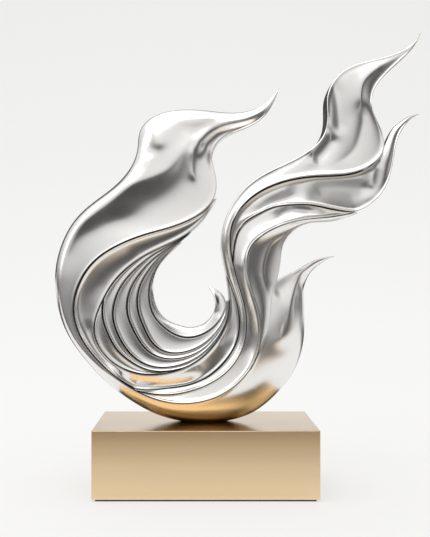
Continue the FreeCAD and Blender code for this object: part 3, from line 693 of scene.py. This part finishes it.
def makeChampagne():
    # a satin gold lacquered metal, deeper in tone on its top face, with painted shade on its
    # sides that darkens them toward the top
    s = champagneSettings
    top = coverSettings["top"] * mm
    material, tree, shader = startMaterial("champagneSatin", 1.0)
    cloud = addGroup(tree, satinCloud, Size=s["size"], Low=s["low"], High=s["high"])
    grain = addGroup(tree, brushedGrain, Fineness=s["fineness"], Depth=s["depth"])
    coords = tree.nodes.new("ShaderNodeTexCoord")
    split = tree.nodes.new("ShaderNodeSeparateXYZ")
    onTop = tree.nodes.new("ShaderNodeMapRange")
    onTop.inputs["From Min"].default_value = top - s["topStep"][0] * mm
    onTop.inputs["From Max"].default_value = top - s["topStep"][1] * mm
    tree.links.new(coords.outputs["Object"], split.inputs[0])
    tree.links.new(split.outputs["Z"], onTop.inputs["Value"])
    sides = mixedColour(tree, cloud.outputs["Mask"], s["dark"], s["light"])
    # painted shade on the sides: a ramp by height, brighter near the floor and darker at the top
    upTheSide = tree.nodes.new("ShaderNodeMapRange")
    upTheSide.inputs["From Max"].default_value = top
    fade = tree.nodes.new("ShaderNodeValToRGB")
    fillRamp(fade, [(place, (tone * s["sideShadeHold"],) * 3) for place, tone in s["fade"]])
    sideShaded = tree.nodes.new("ShaderNodeVectorMath")
    sideShaded.operation = "MULTIPLY"
    lifted = tree.nodes.new("ShaderNodeVectorMath")
    lifted.operation = "SCALE"
    lifted.inputs["Scale"].default_value = 1 / s["sideShadeHold"]
    tree.links.new(split.outputs["Z"], upTheSide.inputs["Value"])
    tree.links.new(upTheSide.outputs[0], fade.inputs[0])
    tree.links.new(sides, sideShaded.inputs[0])
    tree.links.new(fade.outputs[0], sideShaded.inputs[1])
    tree.links.new(sideShaded.outputs[0], lifted.inputs[0])
    colour = mixedColour(tree, onTop.outputs[0], s["dark"], s["top"])
    tree.links.new(lifted.outputs[0], colour.node.inputs[6])
    shader.inputs["Coat Weight"].default_value = s["coat"]
    shader.inputs["Coat Roughness"].default_value = s["coatRoughness"]
    tree.links.new(cloud.outputs["Roughness"], shader.inputs["Roughness"])
    tree.links.new(grain.outputs["Normal"], shader.inputs["Normal"])
    tree.links.new(colour, shader.inputs["Base Color"])
    return material


def makePlain(name, metallic, dark, light, low, high, size, fineness, depth):
    material, tree, shader = startMaterial(name, metallic)
    cloud = addGroup(tree, satinCloud, Size=size, Low=low, High=high)
    grain = addGroup(tree, brushedGrain, Fineness=fineness, Depth=depth)
    tree.links.new(cloud.outputs["Roughness"], shader.inputs["Roughness"])
    tree.links.new(grain.outputs["Normal"], shader.inputs["Normal"])
    tree.links.new(mixedColour(tree, cloud.outputs["Mask"], dark, light),
                   shader.inputs["Base Color"])
    return material


# The finishes that are mostly out of sight: inside and under the plinth, and in the seams.
plainSettings = dict(
    plainSteel=dict(metallic=1.0, dark=(0.42, 0.42, 0.43), light=(0.60, 0.60, 0.61),
                    low=0.28, high=0.42, size=60.0, fineness=1500.0, depth=0.3),
    ballastIron=dict(metallic=0.8, dark=(0.03, 0.03, 0.032), light=(0.08, 0.078, 0.08),
                     low=0.5, high=0.7, size=40.0, fineness=500.0, depth=0.4),
    coreBoard=dict(metallic=0.0, dark=(0.30, 0.20, 0.11), light=(0.46, 0.33, 0.20),
                   low=0.75, high=0.9, size=90.0, fineness=700.0, depth=0.6),
    baseSheet=dict(metallic=0.0, dark=(0.035, 0.028, 0.024), light=(0.07, 0.058, 0.05),
                   low=0.55, high=0.75, size=70.0, fineness=800.0, depth=0.5),
    padRubber=dict(metallic=0.0, dark=(0.012, 0.012, 0.013), light=(0.03, 0.029, 0.029),
                   low=0.7, high=0.9, size=120.0, fineness=1200.0, depth=0.6))

# The plinth's cover, in mm from the floor: a sheet metal shell, open below.
coverSettings = dict(width=200, depth=110, foot=2, top=62, wall=2, edge=0.8, edgeSteps=4)

polishedSilver = makePolishedSilver()
champagneSatin = makeChampagne()
plainFinishes = {name: makePlain(name, **values) for name, values in plainSettings.items()}
print("finishes made:", 2 + len(plainFinishes))

for setting in ribbonSettings.values():
    piece = setting["piece"]
    piece.data.materials.append(polishedSilver)
    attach(piece, "root")
    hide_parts(setting["node"])


def finishedMesh(source, name):
    # the evaluated result as a plain mesh object with no modifiers left
    bpy.context.view_layer.update()
    graph = bpy.context.evaluated_depsgraph_get()
    mesh = bpy.data.meshes.new_from_object(source.evaluated_get(graph))
    mesh.name = name
    bpy.data.objects.remove(source)
    piece = bpy.data.objects.new(name, mesh)
    bpy.context.scene.collection.objects.link(piece)
    return piece


def buildCover():
    s = coverSettings
    x, y = s["width"] / 2 * mm, s["depth"] / 2 * mm
    low, high = s["foot"] * mm, s["top"] * mm
    mesh = bpy.data.meshes.new("coverBlank")
    mesh.from_pydata([(-x, -y, low), (x, -y, low), (x, y, low), (-x, y, low),
                      (-x, -y, high), (x, -y, high), (x, y, high), (-x, y, high)], [],
                     [(0, 1, 5, 4), (1, 2, 6, 5), (2, 3, 7, 6), (3, 0, 4, 7), (4, 5, 6, 7)])
    blank = bpy.data.objects.new("coverBlank", mesh)
    bpy.context.scene.collection.objects.link(blank)
    bevel = blank.modifiers.new("softEdges", "BEVEL")
    bevel.width = s["edge"] * mm
    bevel.segments = s["edgeSteps"]
    bevel.limit_method = "ANGLE"
    wall = blank.modifiers.new("sheetWall", "SOLIDIFY")
    wall.thickness = s["wall"] * mm
    wall.offset = -1
    cover = finishedMesh(blank, "plinthCover")
    cover.data.materials.append(champagneSatin)
    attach(cover, "root")
    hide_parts("plinth_cover")


# Nuts and washers share one tree: a drilled prism set down at two places in a row. The
# values are in mm, and each name is that of an input of its tree.
rowSettings = dict(Bore=8.6, Centre=-1.0, Spacing=30.0)
nutSettings = dict(rowSettings, Sides=6, Across=15.01, Height=6.5, Base=31.9)
washerSettings = dict(rowSettings, Sides=64, Across=18.0, Height=1.6, Base=38.4)
screwSettings = dict(Head=8.0, HeadHeight=2.4, Shank=4.0, Length=12.6, SpacingX=176.0,
                     SpacingY=86.0, Base=2.0, Slot=1.1)


def startTree(name, inputs):
    tree = bpy.data.node_groups.new(name, "GeometryNodeTree")
    for label, value in inputs.items():
        kind = "NodeSocketInt" if isinstance(value, int) else "NodeSocketFloat"
        socket = tree.interface.new_socket(label, in_out="INPUT", socket_type=kind)
        socket.default_value = value
    finish = tree.interface.new_socket("Finish", in_out="INPUT",
                                       socket_type="NodeSocketMaterial")
    tree.interface.new_socket("Geometry", in_out="OUTPUT", socket_type="NodeSocketGeometry")
    return tree, tree.nodes.new("NodeGroupInput"), tree.nodes.new("NodeGroupOutput")


def join(tree, node, label, value):
    if isinstance(value, (int, float)):
        node.inputs[label].default_value = value
    else:
        tree.links.new(value, node.inputs[label])


def solidRound(tree, sides, radius, height, low=0.0, kind="GeometryNodeMeshCylinder", top=None):
    # a closed prism or cone that stands on the height low
    shape = tree.nodes.new(kind)
    join(tree, shape, "Vertices", sides)
    join(tree, shape, "Depth", height)
    if top is None:
        join(tree, shape, "Radius", radius)
    else:
        join(tree, shape, "Radius Bottom", radius)
        join(tree, shape, "Radius Top", top)
    place = tree.nodes.new("ShaderNodeCombineXYZ")
    offset = low if kind == "GeometryNodeMeshCone" else mathNode(
        tree, "ADD", mathNode(tree, "MULTIPLY", height, 0.5), low)
    join(tree, place, "Z", offset)
    move = tree.nodes.new("GeometryNodeTransform")
    tree.links.new(shape.outputs["Mesh"], move.inputs["Geometry"])
    tree.links.new(place.outputs[0], move.inputs["Translation"])
    return move.outputs[0]


def cutAway(tree, body, tool):
    cut = tree.nodes.new("GeometryNodeMeshBoolean")
    cut.operation = "DIFFERENCE"
    tree.links.new(body, cut.inputs["Mesh 1"])
    tree.links.new(tool, cut.inputs["Mesh 2"])
    return cut.outputs["Mesh"]


def setDown(tree, given, result, shape, places):
    # copies on the places, made real, with the finish set
    copies = tree.nodes.new("GeometryNodeInstanceOnPoints")
    real = tree.nodes.new("GeometryNodeRealizeInstances")
    painted = tree.nodes.new("GeometryNodeSetMaterial")
    tree.links.new(places, copies.inputs["Points"])
    tree.links.new(shape, copies.inputs["Instance"])
    tree.links.new(copies.outputs[0], real.inputs[0])
    tree.links.new(real.outputs[0], painted.inputs["Geometry"])
    tree.links.new(given.outputs["Finish"], painted.inputs["Material"])
    tree.links.new(painted.outputs[0], result.inputs["Geometry"])


def drilledTree():
    tree, given, result = startTree("drilledPieces", dict(
        Sides=6, Across=0.015, Height=0.0065, Base=0.03, Bore=0.0086, Centre=0.0, Spacing=0.03))
    blank = solidRound(tree, given.outputs["Sides"],
                       mathNode(tree, "MULTIPLY", given.outputs["Across"], 0.5),
                       given.outputs["Height"])
    drill = solidRound(tree, 48, mathNode(tree, "MULTIPLY", given.outputs["Bore"], 0.5),
                       mathNode(tree, "MULTIPLY", given.outputs["Height"], 1.5),
                       mathNode(tree, "MULTIPLY", given.outputs["Height"], -0.25))
    start = tree.nodes.new("ShaderNodeCombineXYZ")
    half = mathNode(tree, "MULTIPLY", given.outputs["Spacing"], 0.5)
    tree.links.new(mathNode(tree, "SUBTRACT", given.outputs["Centre"], half), start.inputs["X"])
    tree.links.new(given.outputs["Base"], start.inputs["Z"])
    step = tree.nodes.new("ShaderNodeCombineXYZ")
    tree.links.new(given.outputs["Spacing"], step.inputs["X"])
    line = tree.nodes.new("GeometryNodeMeshLine")
    line.inputs["Count"].default_value = 2
    tree.links.new(start.outputs[0], line.inputs["Start Location"])
    tree.links.new(step.outputs[0], line.inputs["Offset"])
    setDown(tree, given, result, cutAway(tree, blank, drill), line.outputs["Mesh"])
    return tree


def screwTree():
    tree, given, result = startTree("countersunkScrews", dict(
        Head=0.008, HeadHeight=0.0024, Shank=0.004, Length=0.0126, SpacingX=0.176,
        SpacingY=0.086, Base=0.002, Slot=0.0011))
    half = {key: mathNode(tree, "MULTIPLY", given.outputs[key], 0.5)
            for key in ("Head", "Shank", "Slot")}
    head = solidRound(tree, 40, half["Head"], given.outputs["HeadHeight"],
                      kind="GeometryNodeMeshCone", top=half["Shank"])
    shank = solidRound(tree, 24, half["Shank"], given.outputs["Length"],
                       given.outputs["HeadHeight"])
    slot = tree.nodes.new("GeometryNodeMeshCube")
    size = tree.nodes.new("ShaderNodeCombineXYZ")
    tree.links.new(given.outputs["Head"], size.inputs["X"])
    tree.links.new(given.outputs["Slot"], size.inputs["Y"])
    tree.links.new(given.outputs["Slot"], size.inputs["Z"])
    tree.links.new(size.outputs[0], slot.inputs["Size"])
    both = tree.nodes.new("GeometryNodeJoinGeometry")
    tree.links.new(shank, both.inputs[0])
    tree.links.new(cutAway(tree, head, slot.outputs["Mesh"]), both.inputs[0])
    grid = tree.nodes.new("GeometryNodeMeshGrid")
    grid.inputs["Vertices X"].default_value = 2
    grid.inputs["Vertices Y"].default_value = 2
    tree.links.new(given.outputs["SpacingX"], grid.inputs["Size X"])
    tree.links.new(given.outputs["SpacingY"], grid.inputs["Size Y"])
    lift = tree.nodes.new("ShaderNodeCombineXYZ")
    tree.links.new(given.outputs["Base"], lift.inputs["Z"])
    move = tree.nodes.new("GeometryNodeTransform")
    tree.links.new(grid.outputs["Mesh"], move.inputs["Geometry"])
    tree.links.new(lift.outputs[0], move.inputs["Translation"])
    setDown(tree, given, result, both.outputs[0], move.outputs[0])
    return tree


def buildHardware(name, tree, values, node):
    blank = bpy.data.objects.new(name + "Blank", bpy.data.meshes.new(name + "Blank"))
    bpy.context.scene.collection.objects.link(blank)
    nodes = blank.modifiers.new("pieces", "NODES")
    nodes.node_group = tree
    for item in tree.interface.items_tree:
        if item.in_out == "INPUT" and item.name in values:
            value = values[item.name]
            nodes[item.identifier] = value if isinstance(value, int) else value * mm
        elif item.in_out == "INPUT" and item.name == "Finish":
            nodes[item.identifier] = plainFinishes["plainSteel"]
    piece = finishedMesh(blank, name)
    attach(piece, "root")
    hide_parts(node)


buildCover()
drilled = drilledTree()
buildHardware("footNuts", drilled, nutSettings, "foot_nuts")
buildHardware("footWashers", drilled, washerSettings, "foot_washers")
buildHardware("baseScrews", screwTree(), screwSettings, "base_screws")
print("plinth cover and hardware built")

# The nodes that come over from the frame as they are, and their finishes.
nodeFinishes = {
    "plinth_core": "coreBoard", "ballast_plate": "ballastIron", "base_plate": "baseSheet",
    "base_pad": "padRubber", "foot_studs": "plainSteel", "seam_pins": "plainSteel",
    "nest_tie_rods": "plainSteel",
}
for nodeName, finish in nodeFinishes.items():
    mesh = bpy.data.objects[nodeName].data
    mesh.materials.clear()
    mesh.materials.append(plainFinishes[finish])

# The pale sheet, in m: how far it runs in front, behind and to each side, its turn and its
# wall. It glows a little, by glow near the front, and by glowLift more toward the wall.
stageSettings = dict(front=2.2, back=1.6, half=3.0, turnRadius=0.9, turnSteps=16,
                     wallHeight=3.0, colour=(0.30, 0.30, 0.298), roughness=0.8, glow=0.555,
                     glowLift=0.09, liftFrom=-0.7, liftTo=1.7, glowColour=(1, 0.998, 0.985))


def buildStage():
    # a seamless sheet: flat under the object, turned up behind it in one quarter round
    s = stageSettings
    outline = [(-s["front"], 0.0), (s["back"], 0.0)]
    for i in range(1, s["turnSteps"] + 1):
        angle = math.pi / 2 * i / s["turnSteps"]
        outline.append((s["back"] + s["turnRadius"] * math.sin(angle),
                        s["turnRadius"] * (1 - math.cos(angle))))
    outline.append((s["back"] + s["turnRadius"], s["wallHeight"]))
    points, faces = [], []
    for y, z in outline:
        points += [(-s["half"], y, z), (s["half"], y, z)]
    for i in range(len(outline) - 1):
        faces.append((2 * i, 2 * i + 1, 2 * i + 3, 2 * i + 2))
    mesh = bpy.data.meshes.new("paleSheet")
    mesh.from_pydata(points, [], faces)
    mesh.polygons.foreach_set("use_smooth", [True] * len(mesh.polygons))
    sheet = bpy.data.objects.new("paleSheet", mesh)
    bpy.context.scene.collection.objects.link(sheet)
    material, tree, shader = startMaterial("palePaper", 0.0)
    shader.inputs["Base Color"].default_value = (*s["colour"], 1)
    shader.inputs["Roughness"].default_value = s["roughness"]
    shader.inputs["Specular IOR Level"].default_value = 0.0
    shader.inputs["Emission Color"].default_value = (*s["glowColour"], 1)
    coords = tree.nodes.new("ShaderNodeTexCoord")
    split = tree.nodes.new("ShaderNodeSeparateXYZ")
    spread = tree.nodes.new("ShaderNodeMapRange")
    spread.inputs["From Min"].default_value = s["liftFrom"]
    spread.inputs["From Max"].default_value = s["liftTo"]
    spread.inputs["To Min"].default_value = s["glow"]
    spread.inputs["To Max"].default_value = s["glow"] + s["glowLift"]
    tree.links.new(coords.outputs["Object"], split.inputs[0])
    tree.links.new(split.outputs["Y"], spread.inputs["Value"])
    tree.links.new(spread.outputs[0], shader.inputs["Emission Strength"])
    mesh.materials.append(material)


# Cards that only show in the metal, in m: a floor in front that darkens away from the
# object, a dark floor and a dark half ring behind it, which draw the thin outlines, and a
# flag at the right that is darkest down its middle.
cardSettings = dict(
    floorNear=-0.24, floorFar=-3.0, floorHalf=1.8, floorLift=0.003,
    floorStops=[(0.0, (0.92, 0.88, 0.83)), (0.035, (0.80, 0.68, 0.55)),
                (0.07, (0.45, 0.36, 0.28)), (0.12, (0.06, 0.055, 0.05)),
                (0.25, (0.03, 0.03, 0.03)), (0.6, (0.03, 0.03, 0.03)), (1.0, (0.18, 0.18, 0.18))],
    backNear=0.35, backFar=1.9, darkTone=0.03,
    ringCentre=(0.03, 0.75, 0.2), ringInner=0.27, ringOuter=0.95, ringSides=24,
    flagFoot=[(0.40, -0.88), (0.92, -0.30)], flagHeight=1.3,
    flagStops=[(0.0, (0.62, 0.61, 0.60)), (0.3, (0.16, 0.155, 0.15)), (0.5, (0.03, 0.03, 0.03)),
               (0.7, (0.2, 0.195, 0.19)), (1.0, (0.66, 0.66, 0.66))])


def glowMaterial(name, stops=None, tone=None, along="Y", span=None):
    # one even tone, or stops of colour over a span along X or Y
    material = bpy.data.materials.new(name)
    material.use_nodes = True
    tree = material.node_tree
    tree.nodes.clear()
    output = tree.nodes.new("ShaderNodeOutputMaterial")
    glow = tree.nodes.new("ShaderNodeEmission")
    tree.links.new(glow.outputs[0], output.inputs["Surface"])
    if stops is None:
        glow.inputs["Color"].default_value = (tone, tone, tone, 1)
        return material
    coords = tree.nodes.new("ShaderNodeTexCoord")
    split = tree.nodes.new("ShaderNodeSeparateXYZ")
    spread = tree.nodes.new("ShaderNodeMapRange")
    spread.inputs["From Min"].default_value, spread.inputs["From Max"].default_value = span
    ramp = tree.nodes.new("ShaderNodeValToRGB")
    fillRamp(ramp, stops)
    tree.links.new(coords.outputs["Object"], split.inputs[0])
    tree.links.new(split.outputs[along], spread.inputs["Value"])
    tree.links.new(spread.outputs[0], ramp.inputs[0])
    tree.links.new(ramp.outputs[0], glow.inputs["Color"])
    return material


def buildCard(name, points, material, faces=((0, 1, 2, 3),)):
    mesh = bpy.data.meshes.new(name)
    mesh.from_pydata(points, [], faces)
    mesh.materials.append(material)
    card = bpy.data.objects.new(name, mesh)
    bpy.context.scene.collection.objects.link(card)
    card.visible_camera = False
    card.visible_diffuse = False
    card.visible_shadow = False


def buildCards():
    s = cardSettings
    half, near, far, lift = s["floorHalf"], s["floorNear"], s["floorFar"], s["floorLift"]
    buildCard("floorCard", [(-half, near, lift), (half, near, lift), (half, far, lift),
                            (-half, far, lift)],
              glowMaterial("floorGlow", stops=s["floorStops"], span=(near, far)))
    dark = glowMaterial("cardBlack", tone=s["darkTone"])
    near, far = s["backNear"], s["backFar"]
    buildCard("backFloorCard", [(-half, far, lift), (half, far, lift), (half, near, lift),
                                (-half, near, lift)], dark)
    x, y, z = s["ringCentre"]
    points, faces = [], []
    for i in range(s["ringSides"] + 1):
        angle = math.pi * i / s["ringSides"]
        for radius in (s["ringInner"], s["ringOuter"]):
            points.append((x + radius * math.cos(angle), y, z + radius * math.sin(angle)))
    for i in range(s["ringSides"]):
        faces.append((2 * i, 2 * i + 1, 2 * i + 3, 2 * i + 2))
    buildCard("ringCard", points, dark, faces)
    (x0, y0), (x1, y1) = s["flagFoot"]
    buildCard("rightFlag", [(x0, y0, lift), (x1, y1, lift), (x1, y1, s["flagHeight"]),
                            (x0, y0, s["flagHeight"])],
              glowMaterial("flagGlow", stops=s["flagStops"], along="X", span=(x0, x1)))


lightTarget = (0.02, 0, 0.2)
lightSettings = [
    # name, place and size in m, watts, colour
    ("topBox", (-0.3, -0.2, 1.6), (2.0, 1.4), 9.5, (1.0, 0.99, 0.97)),
    ("leftBox", (-1.3, -0.6, 1.05), (0.8, 0.9), 2.4, (1.0, 1.0, 1.0)),
    ("rightBox", (1.4, 0.1, 0.8), (0.4, 1.0), 1.4, (1.0, 0.98, 0.95)),
]


def buildLights():
    for name, place, size, watts, colour in lightSettings:
        data = bpy.data.lights.new(name, "AREA")
        data.shape = "RECTANGLE"
        data.size, data.size_y = size
        data.energy = watts
        data.color = colour
        lamp = bpy.data.objects.new(name, data)
        lamp.location = place
        aim = Vector(lightTarget) - lamp.location
        lamp.rotation_euler = aim.to_track_quat("-Z", "Y").to_euler()
        bpy.context.scene.collection.objects.link(lamp)


# The room's tone from straight down (0) to straight up (1), level in the middle, with its
# faint warmth, and the plain paper that is seen behind the sheet.
roomSettings = dict(
    stops=[(0.0, 0.40), (0.42, 0.12), (0.47, 0.05), (0.51, 0.06), (0.55, 0.22), (0.60, 0.60),
           (0.72, 0.85), (1.0, 1.0)],
    warmth=(1, 0.995, 0.985), paper=(0.90, 0.90, 0.885))


def buildRoom():
    world = bpy.data.worlds.new("studioRoom")
    world.use_nodes = True
    tree = world.node_tree
    background = tree.nodes["Background"]
    coords = tree.nodes.new("ShaderNodeTexCoord")
    split = tree.nodes.new("ShaderNodeSeparateXYZ")
    spread = tree.nodes.new("ShaderNodeMapRange")
    spread.inputs["From Min"].default_value = -1
    spread.inputs["From Max"].default_value = 1
    ramp = tree.nodes.new("ShaderNodeValToRGB")
    fillRamp(ramp, [(place, [tone * part for part in roomSettings["warmth"]])
                    for place, tone in roomSettings["stops"]])
    tree.links.new(coords.outputs["Generated"], split.inputs[0])
    tree.links.new(split.outputs["Z"], spread.inputs["Value"])
    tree.links.new(spread.outputs[0], ramp.inputs[0])
    rays = tree.nodes.new("ShaderNodeLightPath")     # seen directly, the room is plain paper
    seen = mixedColour(tree, rays.outputs["Is Camera Ray"], (0, 0, 0), roomSettings["paper"])
    tree.links.new(ramp.outputs[0], seen.node.inputs[6])
    tree.links.new(seen, background.inputs["Color"])
    bpy.context.scene.world = world


cameraSettings = dict(place=(-0.0073, -0.804, 0.1963), lens=57.6, sensor=36,
                      shift=(0.0326, 0.0158))


def buildCamera():
    data = bpy.data.cameras.new("studioCamera")
    data.lens = cameraSettings["lens"]
    data.sensor_width = cameraSettings["sensor"]
    data.shift_x, data.shift_y = cameraSettings["shift"]
    camera = bpy.data.objects.new("studioCamera", data)
    camera.location = cameraSettings["place"]
    camera.rotation_euler = (math.pi / 2, 0, 0)      # level, looking along +Y
    bpy.context.scene.collection.objects.link(camera)
    bpy.context.scene.camera = camera


buildStage()
buildCards()
buildLights()
buildRoom()
buildCamera()
bpy.context.scene.view_settings.view_transform = "Standard"
print("stage, lights and camera set")
